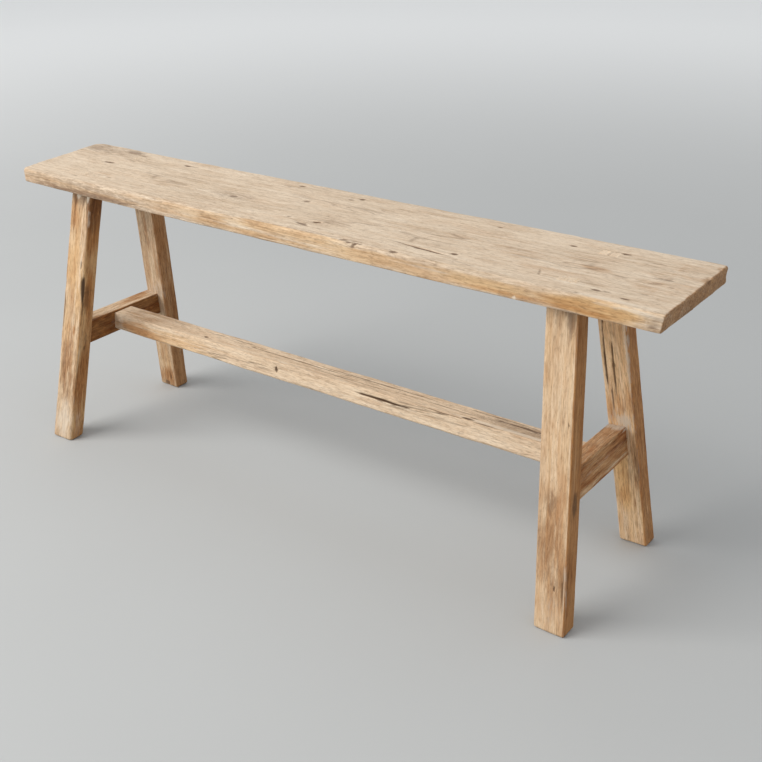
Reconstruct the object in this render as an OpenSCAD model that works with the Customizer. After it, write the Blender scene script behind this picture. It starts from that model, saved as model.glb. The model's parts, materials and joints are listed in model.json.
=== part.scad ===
// Backless trestle bench in reclaimed timber: a plank seat on four splayed legs,
// an end rail between each pair of legs and one long stretcher between the rails.
// Origin: centre of the footprint, on the floor. X runs along the seat, Y across it, Z up.

/* [Seat] */
// Length of the seat along its back edge, to its corners before they are rounded
seat_l = 1208; // [900:1:1600]
// Width of the seat at its square, right end
seat_w = 215; // [180:1:280]
// How much narrower the seat is at its left end
seat_taper = 14; // [0:1:20]
// Thickness of the seat plank
seat_t = 24; // [18:1:40]
// Height of the seat's top above the floor
seat_h = 480; // [400:5:600]
// How far the left end's front corner stands back from its back corner
left_skew = 28; // [0:1:50]
// Corner radius at the left end, back
back_left_r = 22; // [2:1:30]
// Corner radius at the left end, front
front_left_r = 8; // [2:1:30]
// Corner radius at the right end, back
back_right_r = 6; // [2:1:30]
// Corner radius at the right end, front
front_right_r = 3; // [2:1:30]

/* [Legs] */
// Leg section along the seat
leg_w = 44; // [36:1:60]
// Leg section across the seat
leg_t = 30; // [26:1:44]
// Left end of the seat to the centre of the left legs, at the seat's underside
left_overhang = 152; // [110:1:260]
// Right end of the seat to the centre of the right legs, at the seat's underside
right_overhang = 146; // [90:1:260]
// Front leg centre to back leg centre, at the seat's underside
leg_spread = 130; // [110:1:140]
// Outward lean of each pair of legs along the seat, in degrees
splay_along = 5.7; // [0:0.1:10]
// Outward lean of each leg across the seat, in degrees
splay_across = 9; // [2:0.1:14]

/* [Leg tenons and wedges] */
// Tenon width along the seat
leg_tenon_w = 30; // [20:1:34]
// Tenon thickness across the seat
leg_tenon_t = 18; // [12:1:22]
// Wedge thickness at the top of the seat
wedge_t = 4; // [3:0.5:6]
// Wedge thickness at its thin end
wedge_tip = 1; // [0.5:0.5:2]
// Depth of the wedge and its kerf below the top of the seat
wedge_l = 15; // [10:1:17]

/* [End rails] */
// Rail thickness along the seat
rail_t = 28; // [24:1:34]
// Height of the left rail
left_rail_h = 43; // [38:1:60]
// Height of the right rail
right_rail_h = 50; // [38:1:60]
// Height of the rails' tops above the floor
rail_top = 213; // [160:1:300]
// Rail tenon thickness along the seat
rail_tenon_t = 12; // [8:1:16]
// Rail tenon height
rail_tenon_h = 26; // [18:1:30]
// Rail tenon length into the leg
rail_tenon_l = 20; // [14:1:22]

/* [Stretcher] */
// Stretcher width across the seat
stretcher_w = 42; // [34:1:60]
// Stretcher height
stretcher_h = 36; // [30:1:42]
// How far the stretcher's top lies below the rails' tops
stretcher_drop = 3; // [0:0.5:6]
// Bevel on the lower front edge, measured across the seat
bevel_w = 8; // [2:1:12]
// Bevel on the lower front edge, measured up the face
bevel_h = 6; // [2:1:12]
// Stretcher tenon width across the seat
stretcher_tenon_w = 24; // [16:1:28]
// Stretcher tenon height
stretcher_tenon_h = 18; // [12:1:22]
// Stretcher tenon length into the rail
stretcher_tenon_l = 18; // [12:1:20]

/* [Pegs] */
// Diameter of every peg
peg_d = 8; // [6:0.5:9]
// Wood left beyond the blind end of a peg
peg_stop = 8; // [5:1:12]

/* [Fits] */
// Clearance all round a tenon, a wedge or a peg
fit = 0.15; // [0.05:0.05:0.4]
// Free depth at the bottom of a stopped mortise
mortise_gap = 0.8; // [0.2:0.1:2]

/* [Hidden] */
$fn = 48;

// Sides of the bench
LEFT = -1;
RIGHT = 1;
FRONT = -1;
BACK = 1;

seat_under = seat_h - seat_t;
// Straight steps in each rounded corner of the seat
arc_steps = 8;
// Size of a block that is larger than the bench
big = 2 * (seat_l + seat_h);
// How far a cutter runs past the face that it opens
over = 1;
// How far a stopped tenon's block reaches back into its own timber
root_l = 10;

// Colours of the timber
seat_tone = [0.80, 0.68, 0.52];
leg_tone = [0.76, 0.61, 0.42];
rail_tone = [0.62, 0.46, 0.31];
stretcher_tone = [0.78, 0.65, 0.47];
wedge_tone = [0.85, 0.77, 0.64];
peg_tone = [0.55, 0.41, 0.28];

// Centre of a pair of legs along the bench, at the seat's underside
function leg_x(side) =
    (side == LEFT ? -seat_l / 2 + left_overhang : seat_l / 2 - right_overhang) - seat_mid_x;
function rail_h(side) = side == LEFT ? left_rail_h : right_rail_h;
// Extra length of a cutter past the face that it opens; none on the piece itself
function past(gap) = gap > 0 ? over : 0;

// ---- Frames of reference ----

// Plane of one pair of legs: origin midway between them, level with the seat's underside
module in_end_frame(side)
    translate([leg_x(side), 0, seat_under])
        rotate([0, -side * splay_along, 0])
            children();

// One leg's own line: origin on it at the seat's underside, Z up the leg
module in_leg_line(side, face)
    in_end_frame(side)
        translate([0, face * leg_spread / 2, 0])
            rotate([face * splay_across, 0, 0])
                children();

// Everything between two heights above the floor
module slab(low, high)
    translate([-big / 2, -big / 2, low])
        cube([big, big, high - low]);

// ---- Seat ----

// Corner points of the seat before rounding, anticlockwise from the front left
seat_corners = [
    [-seat_l / 2 + left_skew, -(seat_w - seat_taper) / 2],
    [seat_l / 2, -seat_w / 2],
    [seat_l / 2, seat_w / 2],
    [-seat_l / 2, (seat_w - seat_taper) / 2]
];
corner_radii = [front_left_r, front_right_r, back_right_r, back_left_r];

function unit(v) = v / norm(v);
// Outward normal of the edge that leaves corner i
function edge_normal(i) =
    let (d = unit(seat_corners[(i + 1) % 4] - seat_corners[i % 4])) [d.y, -d.x];
// Centre of the rounding at corner i: one radius inside both of its edges
function corner_centre(i) =
    let (a = edge_normal((i + 3) % 4), b = edge_normal(i), r = corner_radii[i])
    seat_corners[i] - (a + b) * r / (1 + a * b);

// The rounded left end stops short of its sharp corner, so the bench is slid along by this much
// to stand centred on the origin
seat_mid_x = (seat_l / 2 + min([for (i = [0, 3]) corner_centre(i).x - corner_radii[i]])) / 2;

// Points of the arc that rounds corner i
function corner_arc(i) =
    let (
        a = edge_normal((i + 3) % 4),
        b = edge_normal(i),
        start = atan2(a.y, a.x),
        turn = acos(a * b)
    )
    [
        for (k = [0:arc_steps])
            let (angle = start + turn * k / arc_steps)
            corner_centre(i) + corner_radii[i] * [cos(angle), sin(angle)]
    ];

// Plan of the seat: straight edges that run into an arc at each corner
module seat_plan()
    translate([-seat_mid_x, 0])
        polygon([for (i = [0:3]) each corner_arc(i)]);

module seat()
    color(seat_tone)
        difference() {
            translate([0, 0, seat_under])
                linear_extrude(seat_t)
                    seat_plan();
            for (side = [LEFT, RIGHT], face = [FRONT, BACK])
                leg_tenon(side, face, fit);
        }

// ---- Legs ----

// Leg timber between the floor and the seat, without its joints
module leg_blank(side, face)
    intersection() {
        in_leg_line(side, face)
            translate([-leg_w / 2, -leg_t / 2, -big / 2])
                cube([leg_w, leg_t, big]);
        slab(0, seat_under);
    }

// Through tenon on a leg's head; gap widens it into its mortise
module leg_tenon(side, face, gap = 0)
    intersection() {
        in_leg_line(side, face)
            translate([-leg_tenon_w / 2 - gap, -leg_tenon_t / 2 - gap, -big / 2])
                cube([leg_tenon_w + 2 * gap, leg_tenon_t + 2 * gap, big]);
        slab(seat_under - past(gap), seat_h + past(gap));
    }

// Wedge across a leg's tenon; gap widens it into its kerf
module tenon_wedge_blank(side, face, gap = 0)
    in_leg_line(side, face)
        translate([0, leg_tenon_t / 2 + past(gap), seat_t])
            rotate([90, 0, 0])
                linear_extrude(leg_tenon_t + 2 * past(gap))
                    polygon([
                        [-wedge_tip / 2 - gap, -wedge_l - gap],
                        [wedge_tip / 2 + gap, -wedge_l - gap],
                        [wedge_t / 2 + gap, 0],
                        [wedge_t / 2 + gap, seat_t],
                        [-wedge_t / 2 - gap, seat_t],
                        [-wedge_t / 2 - gap, 0]
                    ]);

module leg(side, face)
    color(leg_tone)
        difference() {
            union() {
                leg_blank(side, face);
                leg_tenon(side, face);
            }
            tenon_wedge_blank(side, face, fit);
            rail_tenon(side, face, fit);
            rail_peg_blank(side, face, fit);
        }

module tenon_wedge(side, face)
    color(wedge_tone)
        intersection() {
            tenon_wedge_blank(side, face);
            slab(0, seat_h);
        }

// ---- End rails ----

// Height of the rails' tops, measured along the plane of the legs from the seat's underside
rail_top_in_frame = -(seat_under - rail_top) / cos(splay_along);
// The rails lie flush with the legs' faces on the left, in each pair
rail_left_face = -leg_w / 2;

function rail_mid(side) = rail_top_in_frame - rail_h(side) / 2;
// Distance across the seat from the centre to a leg's centre line, and to its inner face, at height z
function leg_y(z) = leg_spread / 2 - z * tan(splay_across);
function leg_inner_y(z) = leg_y(z) - leg_t / 2 / cos(splay_across);

// Rail timber that runs as far as the middle of both legs
module rail_blank(side)
    in_end_frame(side)
        translate([rail_left_face, -leg_y(rail_mid(side)), rail_top_in_frame - rail_h(side)])
            cube([rail_t, 2 * leg_y(rail_mid(side)), rail_h(side)]);

// Everything beyond a leg's inner face, where its rail has to end
module beyond_leg_face(side, face)
    in_leg_line(side, face)
        translate([-big / 2, face == BACK ? -leg_t / 2 : leg_t / 2 - big, -big / 2])
            cube([big, big, big]);

// Rail timber cut to its shoulders on the legs' inner faces
module rail_body(side)
    difference() {
        rail_blank(side);
        for (face = [FRONT, BACK])
            beyond_leg_face(side, face);
    }

// Stopped tenon on one end of a rail; gap widens it into its mortise
module rail_tenon(side, face, gap = 0) {
    root = leg_inner_y(rail_mid(side)) - root_l;
    tip = leg_inner_y(rail_mid(side)) + rail_tenon_l + (gap > 0 ? mortise_gap : 0);
    in_end_frame(side)
        translate([
            rail_left_face + rail_t / 2 - rail_tenon_t / 2 - gap,
            face == BACK ? root : -tip,
            rail_mid(side) - rail_tenon_h / 2 - gap
        ])
            cube([rail_tenon_t + 2 * gap, tip - root, rail_tenon_h + 2 * gap]);
}

// Peg through a leg and its rail tenon, from the leg's left face; gap widens it into its hole
module rail_peg_blank(side, face, gap = 0)
    in_end_frame(side)
        translate([
            -leg_w / 2 - past(gap),
            face * (leg_inner_y(rail_mid(side)) + rail_tenon_l / 2),
            rail_mid(side)
        ])
            rotate([0, 90, 0])
                cylinder(d = peg_d + 2 * gap, h = leg_w - peg_stop + 2 * past(gap));

module end_rail(side)
    color(rail_tone)
        difference() {
            union() {
                rail_body(side);
                for (face = [FRONT, BACK])
                    rail_tenon(side, face);
            }
            stretcher_tenon(side, fit);
            stretcher_peg_blank(side, fit);
            for (face = [FRONT, BACK])
                rail_peg_blank(side, face, fit);
        }

module rail_peg(side, face)
    color(peg_tone)
        rail_peg_blank(side, face);

// ---- Stretcher ----

stretcher_top = rail_top - stretcher_drop;
stretcher_mid = stretcher_top - stretcher_h / 2;

// Where the rail's face that looks at the stretcher stands, at the stretcher's middle height
function rail_inner_x(side) =
    leg_x(side)
    + side * (seat_under - stretcher_mid) * tan(splay_along)
    + (side == LEFT ? rail_left_face + rail_t : rail_left_face) / cos(splay_along);

// Cross-section of the stretcher, Y to the right and Z up, with its lower front edge bevelled
module stretcher_section()
    polygon([
        [-stretcher_w / 2, stretcher_h],
        [-stretcher_w / 2, bevel_h],
        [-stretcher_w / 2 + bevel_w, 0],
        [stretcher_w / 2, 0],
        [stretcher_w / 2, stretcher_h]
    ]);

// Everything beyond a rail's inner face, where the stretcher has to end
module beyond_rail_face(side)
    in_end_frame(side)
        translate([
            side == LEFT ? rail_left_face + rail_t - big : rail_left_face,
            -big / 2,
            -big / 2
        ])
            cube([big, big, big]);

// Stretcher timber that runs a little way past both rails' inner faces
module stretcher_blank()
    translate([rail_inner_x(LEFT) - rail_t / 2, 0, stretcher_top - stretcher_h])
        rotate([90, 0, 90])
            linear_extrude(rail_inner_x(RIGHT) - rail_inner_x(LEFT) + rail_t)
                stretcher_section();

// Stretcher timber cut to its shoulders on the rails' inner faces
module stretcher_body()
    difference() {
        stretcher_blank();
        for (side = [LEFT, RIGHT])
            beyond_rail_face(side);
    }

// Stopped tenon on one end of the stretcher; gap widens it into its mortise
module stretcher_tenon(side, gap = 0) {
    root = rail_inner_x(side) - side * root_l;
    tip = rail_inner_x(side) + side * (stretcher_tenon_l + (gap > 0 ? mortise_gap : 0));
    translate([
        min(root, tip),
        -stretcher_tenon_w / 2 - gap,
        stretcher_mid - stretcher_tenon_h / 2 - gap
    ])
        cube([abs(tip - root), stretcher_tenon_w + 2 * gap, stretcher_tenon_h + 2 * gap]);
}

// Peg up through a rail and the stretcher tenon, from the rail's lower face
module stretcher_peg_blank(side, gap = 0)
    in_end_frame(side)
        translate([
            rail_left_face + (side == LEFT ? rail_t - stretcher_tenon_l / 2 : stretcher_tenon_l / 2),
            0,
            rail_top_in_frame - rail_h(side) - past(gap)
        ])
            cylinder(d = peg_d + 2 * gap, h = rail_h(side) - peg_stop + 2 * past(gap));

module stretcher()
    color(stretcher_tone)
        difference() {
            union() {
                stretcher_body();
                for (side = [LEFT, RIGHT])
                    stretcher_tenon(side);
            }
            for (side = [LEFT, RIGHT])
                stretcher_peg_blank(side, fit);
        }

module stretcher_peg(side)
    color(peg_tone)
        stretcher_peg_blank(side);

// ---- Drawing ----

seat();
leg(LEFT, FRONT);  // leg_front_left
leg(RIGHT, FRONT);  // leg_front_right
leg(LEFT, BACK);  // leg_back_left
leg(RIGHT, BACK);  // leg_back_right
end_rail(LEFT);  // end_rail_left
end_rail(RIGHT);  // end_rail_right
stretcher();
tenon_wedge(LEFT, FRONT);  // tenon_wedge_front_left
tenon_wedge(RIGHT, FRONT);  // tenon_wedge_front_right
tenon_wedge(LEFT, BACK);  // tenon_wedge_back_left
tenon_wedge(RIGHT, BACK);  // tenon_wedge_back_right
rail_peg(LEFT, FRONT);  // rail_peg_front_left
rail_peg(RIGHT, FRONT);  // rail_peg_front_right
rail_peg(LEFT, BACK);  // rail_peg_back_left
rail_peg(RIGHT, BACK);  // rail_peg_back_right
stretcher_peg(LEFT);  // stretcher_peg_left
stretcher_peg(RIGHT);  // stretcher_peg_right
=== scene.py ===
import json
import math

import bpy
import numpy as np
from mathutils import Matrix, Vector


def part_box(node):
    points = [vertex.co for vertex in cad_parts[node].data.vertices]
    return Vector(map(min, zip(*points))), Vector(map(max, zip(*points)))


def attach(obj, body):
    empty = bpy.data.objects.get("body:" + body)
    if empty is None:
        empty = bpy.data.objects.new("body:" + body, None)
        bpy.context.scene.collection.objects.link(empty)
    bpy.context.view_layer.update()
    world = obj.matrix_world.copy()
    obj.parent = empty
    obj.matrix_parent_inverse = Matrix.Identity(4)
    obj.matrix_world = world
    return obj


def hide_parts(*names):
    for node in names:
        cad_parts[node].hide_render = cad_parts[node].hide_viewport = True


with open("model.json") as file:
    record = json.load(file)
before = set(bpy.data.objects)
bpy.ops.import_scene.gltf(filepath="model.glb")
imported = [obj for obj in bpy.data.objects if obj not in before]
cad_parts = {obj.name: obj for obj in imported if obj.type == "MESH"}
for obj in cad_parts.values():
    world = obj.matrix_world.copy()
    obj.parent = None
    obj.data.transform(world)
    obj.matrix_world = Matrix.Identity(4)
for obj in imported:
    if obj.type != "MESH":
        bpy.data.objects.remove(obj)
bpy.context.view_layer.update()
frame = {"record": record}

# name of a face: (axis it faces, side, axis that runs across it)
seatFaces = {"top": (2, 1, 1), "bottom": (2, -1, 1), "back": (1, 1, 2), "front": (1, -1, 2),
             "left": (0, -1, 1), "right": (0, 1, 1)}
legFaces = {"back": (2, 1, 1), "front": (2, -1, 1), "right": (1, 1, 2), "left": (1, -1, 2),
            "foot": (0, -1, 1), "head": (0, 1, 1)}
# masks that the wood shaders read: three of stain and painted shade (gold, grey, brown) in one attribute,
# three in "show"
maskNames = ["gold", "grey", "brown", "crack", "wear", "dust"]
# shared by every timber; lengths are in metres
hewn = {
    "softRim": 0.7,
    "fineStep": (0.0006, 0.0007, 0.0007),       # mesh steps beside the arrises
    "toneEdge": (0.004, 0.001),     # where a face's own tone fades out at an arris
    "markDeep": 0.006,      # how far below its face a mark still shows
    "markRagged": 0.3,
    "waveReach": 0.03,      # how far in from an end the end wave starts
    "knotRun": 3.0,     # how much longer than wide the grain swells round a knot
    "knotDeep": (0.03, 0.012),
    "flushReach": (0.018, 0.036),       # kept flat within this of a tenon's end
    "grainReach": 10.0,     # grain places are kept within this of zero
    "arrisLumps": (0.09, 0.017),
}
# noises of every timber: how long a lump is on each axis in metres, and the step of its seed
lumps = {"ragged": (0.012, 0.004, 0.004, 21), "blotch": (0.05, 0.014, 0.014, 22),
         "sway": (0.13, 0.045, 0.045, 31), "dips": (0.04, 0.018, 0.018, 32),
         "ridges": (0.06, 0.0042, 0.0042, 33), "fibres": (0.012, 0.0025, 0.0025, 34),
         "endGrain": (0.01, 0.0045, 0.0032, 35), "endSway": (0.4, 0.018, 0.03, 36),
         "endTeeth": (0.4, 0.006, 0.03, 37)}


def latticeValue(cell, seed):       # one repeatable random value from -1 to 1 per cell
    mixed = (cell[:, 0] * 73856093) ^ (cell[:, 1] * 19349663) ^ (cell[:, 2] * 83492791)
    mixed = mixed ^ (seed * 2654435)
    mixed = (mixed ^ (mixed >> 13)) * 1274126177
    mixed = (mixed ^ (mixed >> 16)) & 0xFFFF
    return mixed / 32767.5 - 1.0


def softNoise(at, lump, seed):      # smooth noise from -1 to 1; lump is its size on each axis
    spot = at / np.asarray(lump)
    base = np.floor(spot)
    part = spot - base
    part = part * part * (3.0 - 2.0 * part)
    base = base.astype(np.int64)
    total = np.zeros(len(at))
    for step in range(8):
        corner = np.array([step & 1, step >> 1 & 1, step >> 2 & 1])
        weight = np.prod(np.where(corner, part, 1.0 - part), axis=1)
        total += weight * latticeValue(base + corner, seed)
    return total


def lumpNoise(at, key, seed):
    *lump, step = lumps[key]
    return softNoise(at, lump, seed + step)


def smoothStep(low, high, value):
    part = np.clip((value - low) / (high - low), 0.0, 1.0)
    return part * part * (3.0 - 2.0 * part)


def gradedLine(length, step, fine):     # places along one side, closer together at both ends
    edge = [0.0]
    gap = fine
    while gap < step:
        edge.append(edge[-1] + gap)
        gap *= 1.4
    cells = max(1, round((length - 2.0 * edge[-1]) / step))
    cells += cells % 2      # an even count, so that a coarse underside can share the line
    middle = np.linspace(edge[-1], length - edge[-1], cells + 1)
    line = np.concatenate((edge[:-1], middle, length - np.array(edge[-2::-1])))
    return line - length / 2.0


def boxShell(lineX, lineY, lineZ, coarseUnder):     # closed skin of a box in four-sided faces
    counts = (len(lineX), len(lineY), len(lineZ))
    outside = np.zeros(counts, dtype=bool)
    outside[[0, -1]] = True
    outside[:, [0, -1]] = True
    outside[:, :, [0, -1]] = True
    if coarseUnder:
        outside[:, :, 0] = False
        outside[::2, ::2, 0] = True
    ids = np.full(counts, -1)
    ids[outside] = np.arange(outside.sum())
    at = np.argwhere(outside)
    points = np.column_stack((lineX[at[:, 0]], lineY[at[:, 1]], lineZ[at[:, 2]]))
    faces = []

    def addSheet(grid, flip):
        quads = np.stack((grid[:-1, :-1], grid[1:, :-1], grid[1:, 1:], grid[:-1, 1:]), -1)
        quads = quads.reshape(-1, 4)
        faces.extend((quads[:, ::-1] if flip else quads).tolist())

    def addStrip(lower, upper, flip):       # five-sided faces from a coarse row to a fine one
        for n in range(0, len(lower) - 2, 2):
            ring = [lower[n], lower[n + 2], upper[n + 2], upper[n + 1], upper[n]]
            faces.append([int(i) for i in (ring[::-1] if flip else ring)])

    low = 1 if coarseUnder else 0
    under = ids[::2, ::2, 0] if coarseUnder else ids[:, :, 0]
    addSheet(ids[:, :, -1], False)
    addSheet(under, True)
    for grid, flip in ((ids[-1], False), (ids[0], True), (ids[:, 0], False), (ids[:, -1], True)):
        addSheet(grid[:, low:], flip)
        if coarseUnder:
            addStrip(grid[:, 0], grid[:, 1], flip)
    return points, faces


def roundArrises(at, size, spec, seed):     # turns the sharp box into a worn one; gives the wear
    half = np.array(size) / 2.0
    wear = np.zeros(len(at))
    along = np.column_stack((at[:, 0], np.zeros(len(at)), np.zeros(len(at))))
    start = at.copy()
    for number, (sides, worn) in enumerate(spec["arrises"].items()):
        here = (start[:, 1] * sides[0] >= 0) & (start[:, 2] * sides[1] >= 0)
        rough = worn["rough"]
        slow, quick = hewn["arrisLumps"]
        uneven = softNoise(along[here], slow, seed + number) * (rough + 0.05)
        uneven += softNoise(along[here], quick, seed + 10 + number) * rough
        for spot, reach, extra in worn["chips"]:
            uneven += extra * np.exp(-((along[here, 0] - spot) / reach) ** 2)
        grow = np.clip(1.0 + uneven, 0.3, 6.0)
        wide = worn["wide"] * grow
        deep = worn["deep"] * grow
        a = np.clip(1.0 - (half[1] - np.abs(start[here, 1])) / wide, 0.0, 1.0)
        b = np.clip(1.0 - (half[2] - np.abs(start[here, 2])) / deep, 0.0, 1.0)
        both = (a > 0) & (b > 0)
        flat = worn["flat"]
        length = np.hypot(a, b) * (1.0 - flat) + (a + b) * flat
        scale = np.where(both, np.maximum(a, b) / np.maximum(length, 1e-9), 1.0)
        moved = at[here]
        moved[:, 1] = np.where(both, sides[0] * (half[1] - wide * (1.0 - a * scale)), moved[:, 1])
        moved[:, 2] = np.where(both, sides[1] * (half[2] - deep * (1.0 - b * scale)), moved[:, 2])
        at[here] = moved
        wear[here] = np.maximum(wear[here], np.minimum(a, b))
    for side, radius in zip((-1, 1), spec["endRounds"]):        # small round at each end
        inset = half[0] - at[:, 0] * side
        pull = np.where(inset < radius, radius - np.sqrt(
            np.maximum(radius ** 2 - (radius - inset) ** 2, 0.0)), 0.0)
        wear = np.maximum(wear, np.clip(pull / radius, 0.0, 1.0) * 0.8)
        at[:, 1] *= 1.0 - pull / half[1]
        at[:, 2] *= 1.0 - pull / half[2]
    for (sideX, sideY), radius in spec.get("planCorners", {}).items():
        dx = radius - half[0] + at[:, 0] * sideX
        dy = radius - half[1] + at[:, 1] * sideY
        here = (dx > 0) & (dy > 0)
        scale = np.maximum(dx, dy)[here] / np.hypot(dx, dy)[here]
        at[here, 0] = sideX * (half[0] - radius + dx[here] * scale)
        at[here, 1] = sideY * (half[1] - radius + dy[here] * scale)
    return wear


def spotMask(at, size, face, mark, turn, ragged, soft):     # one oval mark on one face
    level, side, flat = face
    along, across, length, width = mark
    run = 0 if level else 2
    near = at[:, level] * side > size[level] / 2.0 - hewn["markDeep"]
    dx = at[:, run] - along
    dy = at[:, flat] - across
    u = (dx * math.cos(turn) + dy * math.sin(turn)) / (length / 2.0)
    v = (dy * math.cos(turn) - dx * math.sin(turn)) / (width / 2.0)
    reach = np.sqrt(u * u + v * v) + ragged * hewn["markRagged"]
    return np.where(near, smoothStep(1.0 + soft, 1.0 - soft, reach), 0.0)


# Marks stand under their kind, their face and, where it isn't the usual one, how soft the rim
# is. A row is along, across, length and width in mm, the amount, the depth in mm and the turn.
def makeTimber(name, spec, faces, shape):       # one piece of wood, with its grain and its marks
    size = spec["size"]
    seed = spec["seed"]
    lines = [gradedLine(*sizes) for sizes in zip(size, spec["steps"], hewn["fineStep"])]
    at, skin = boxShell(*lines, spec.get("coarseUnder", False))
    sharp = at.copy()
    masks = {key: np.zeros(len(at)) for key in maskNames}
    masks["wear"] = roundArrises(at, size, spec, seed) * spec.get("arrisWear", 0.4)

    ragged = lumpNoise(at, "ragged", seed)
    blotch = lumpNoise(at, "blotch", seed)
    sink = np.zeros(len(at))
    for face, tones in spec.get("faceTones", {}).items():
        level, side, flat = faces[face]
        edge = size[level] / 2.0
        start, stop = (edge - reach for reach in hewn["toneEdge"])
        weight = smoothStep(start, stop, at[:, level] * side)
        weight = np.where(sharp[:, level] * side > edge - 1e-6, np.maximum(weight, 0.5), weight)
        for key, amount in tones.items():
            masks[key] = np.maximum(masks[key], weight * amount)
    for (kind, face, *soft), rows in spec.get("marks", {}).items():
        soft = soft[0] if soft else hewn["softRim"]
        for *place, amount, depth, turn in (row + (0, 0)[len(row) - 5:] for row in rows):
            mask = spotMask(at, size, faces[face], [value / 1000.0 for value in place], turn,
                            ragged if soft < 0.5 else blotch, soft)
            masks[kind] = np.maximum(masks[kind], mask * amount)
            sink = np.maximum(sink, mask * (depth / 1000.0))

    nearEnd = smoothStep(size[0] / 2.0 - hewn["waveReach"], size[0] / 2.0, np.abs(sharp[:, 0]))
    uneven = lumpNoise(sharp, "endSway", seed) + 0.6 * lumpNoise(sharp, "endTeeth", seed)
    fade = 0.25 + 0.75 * smoothStep(-0.5, 0.3, sharp[:, 2] / size[2])       # truer at the lower edge
    at[:, 0] += spec.get("endWave", 0.0) * nearEnd * uneven * fade * np.sign(sharp[:, 0])
    grain = at + np.array(spec["cutFrom"])
    for face, along, across, radius in spec.get("knots", []):      # grain that flows round a knot
        level, side, flat = faces[face]
        dx = (at[:, 0] - along) / hewn["knotRun"]
        dy = at[:, flat] - across
        room = dx * dx + dy * dy
        near = smoothStep(*hewn["knotDeep"], size[level] / 2.0 - at[:, level] * side)
        grain[:, flat] -= near * dy * radius ** 2 / (room + radius ** 2)

    mesh = bpy.data.meshes.new(name)
    mesh.from_pydata(shape(at).tolist(), [], skin)
    mesh.update()
    normals = np.zeros(len(at) * 3)
    mesh.vertices.foreach_get("normal", normals)
    world = shape(at)
    push = spec["wave"] * lumpNoise(at, "sway", seed)
    push += spec["wave"] * 0.4 * lumpNoise(at, "dips", seed)
    push += spec["ridge"] * lumpNoise(grain, "ridges", seed)
    push += spec["ridge"] * 0.5 * lumpNoise(grain, "fibres", seed)
    endGrain = np.abs(sharp[:, 0]) > size[0] / 2.0 - 1e-6
    push += endGrain * spec.get("endRough", 0.0) * lumpNoise(at, "endGrain", seed)
    for x, y in spec.get("flushSpots", []):     # kept flat where another piece comes through
        push *= smoothStep(*hewn["flushReach"], np.hypot(world[:, 0] - x, world[:, 1] - y))
    push -= sink
    world += normals.reshape(-1, 3) * push[:, None]
    if "floorLevel" in spec:
        world[:, 2] = np.maximum(world[:, 2], spec["floorLevel"])
    mesh.vertices.foreach_set("co", world.ravel())
    return mesh, grain, masks


def joinMeshes(name, parts):        # parts are (mesh, grain, masks); keeps their attributes
    points = []
    skin = []
    grain = np.concatenate([part[1] for part in parts])
    masks = {key: np.concatenate([part[2][key] for part in parts]) for key in maskNames}
    for mesh, _, _ in parts:
        start = len(points)
        points += [tuple(v.co) for v in mesh.vertices]
        skin += [[start + i for i in face.vertices] for face in mesh.polygons]
        bpy.data.meshes.remove(mesh)
    joined = bpy.data.meshes.new(name)
    joined.from_pydata(points, [], skin)
    return joined, grain, masks


def addPiece(name, mesh, nodes):
    piece = bpy.data.objects.new(name, mesh)
    bpy.context.scene.collection.objects.link(piece)
    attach(piece, "root")
    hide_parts(*nodes)
    print("made", name, len(mesh.vertices), "points")


def finishPiece(name, part, material, slot, *nodes):
    mesh, grain, masks = part
    mesh.validate()
    mesh.shade_smooth()
    stain = np.column_stack([masks[key] for key in maskNames[:3]])
    show = np.column_stack([masks[key] for key in maskNames[3:]])
    for key, values in (("grain", grain), ("stain", stain), ("show", show)):
        layer = mesh.attributes.new(key, "FLOAT_VECTOR", "POINT")
        held = np.clip(values, -hewn["grainReach"], hewn["grainReach"])
        layer.data.foreach_set("vector", held.ravel())
    mesh.materials.append(material)
    addPiece(name, mesh, nodes)


def setInputs(node, values):        # a value is a socket to link from, or the value itself
    for key, value in values.items():
        if isinstance(value, bpy.types.NodeSocket):
            node.id_data.links.new(value, node.inputs[key])
        elif value is not None:
            node.inputs[key].default_value = value


def addNode(tree, kind, inputs=None, **settings):
    node = tree.nodes.new(kind)
    for key, value in settings.items():
        setattr(node, key, value)
    setInputs(node, inputs or {})
    return node


def doMath(tree, operation, a, b=None, clamp=False):
    return addNode(tree, "ShaderNodeMath", {0: a, 1: b}, operation=operation,
                   use_clamp=clamp).outputs[0]


def vectorMath(tree, operation, a, b=None):
    node = addNode(tree, "ShaderNodeVectorMath", {0: a, 1: b}, operation=operation)
    return node.outputs["Value" if operation == "LENGTH" else "Vector"]


def splitVector(tree, vector):
    return list(addNode(tree, "ShaderNodeSeparateXYZ", {0: vector}).outputs)


def joinVector(tree, *parts):
    return addNode(tree, "ShaderNodeCombineXYZ", dict(enumerate(parts))).outputs[0]


def addNoise(tree, vector, scale, detail, roughness=0.55):
    return addNode(tree, "ShaderNodeTexNoise", {
        "Vector": vectorMath(tree, "MULTIPLY", vector, scale), "Scale": 1.0, "Detail": detail,
        "Roughness": roughness}).outputs["Fac"]


def addNoises(tree, grain, table):      # the rows are size along and across, detail, roughness
    return {key: addNoise(tree, grain, (along, across, across), detail, roughness)
            for key, (along, across, detail, roughness) in table.items()}


def spreadValue(tree, value, low, high, toLow=0.0, toHigh=1.0):
    return addNode(tree, "ShaderNodeMapRange", {
        "Value": value, "From Min": low, "From Max": high, "To Min": toLow, "To Max": toHigh},
        interpolation_type="SMOOTHSTEP").outputs["Result"]


def mixColours(tree, mask, first, second, blend="MIX"):       # sockets by number: names repeat
    return addNode(tree, "ShaderNodeMix", {0: mask, 6: first, 7: second}, data_type="RGBA",
                   blend_type=blend).outputs[2]


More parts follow.
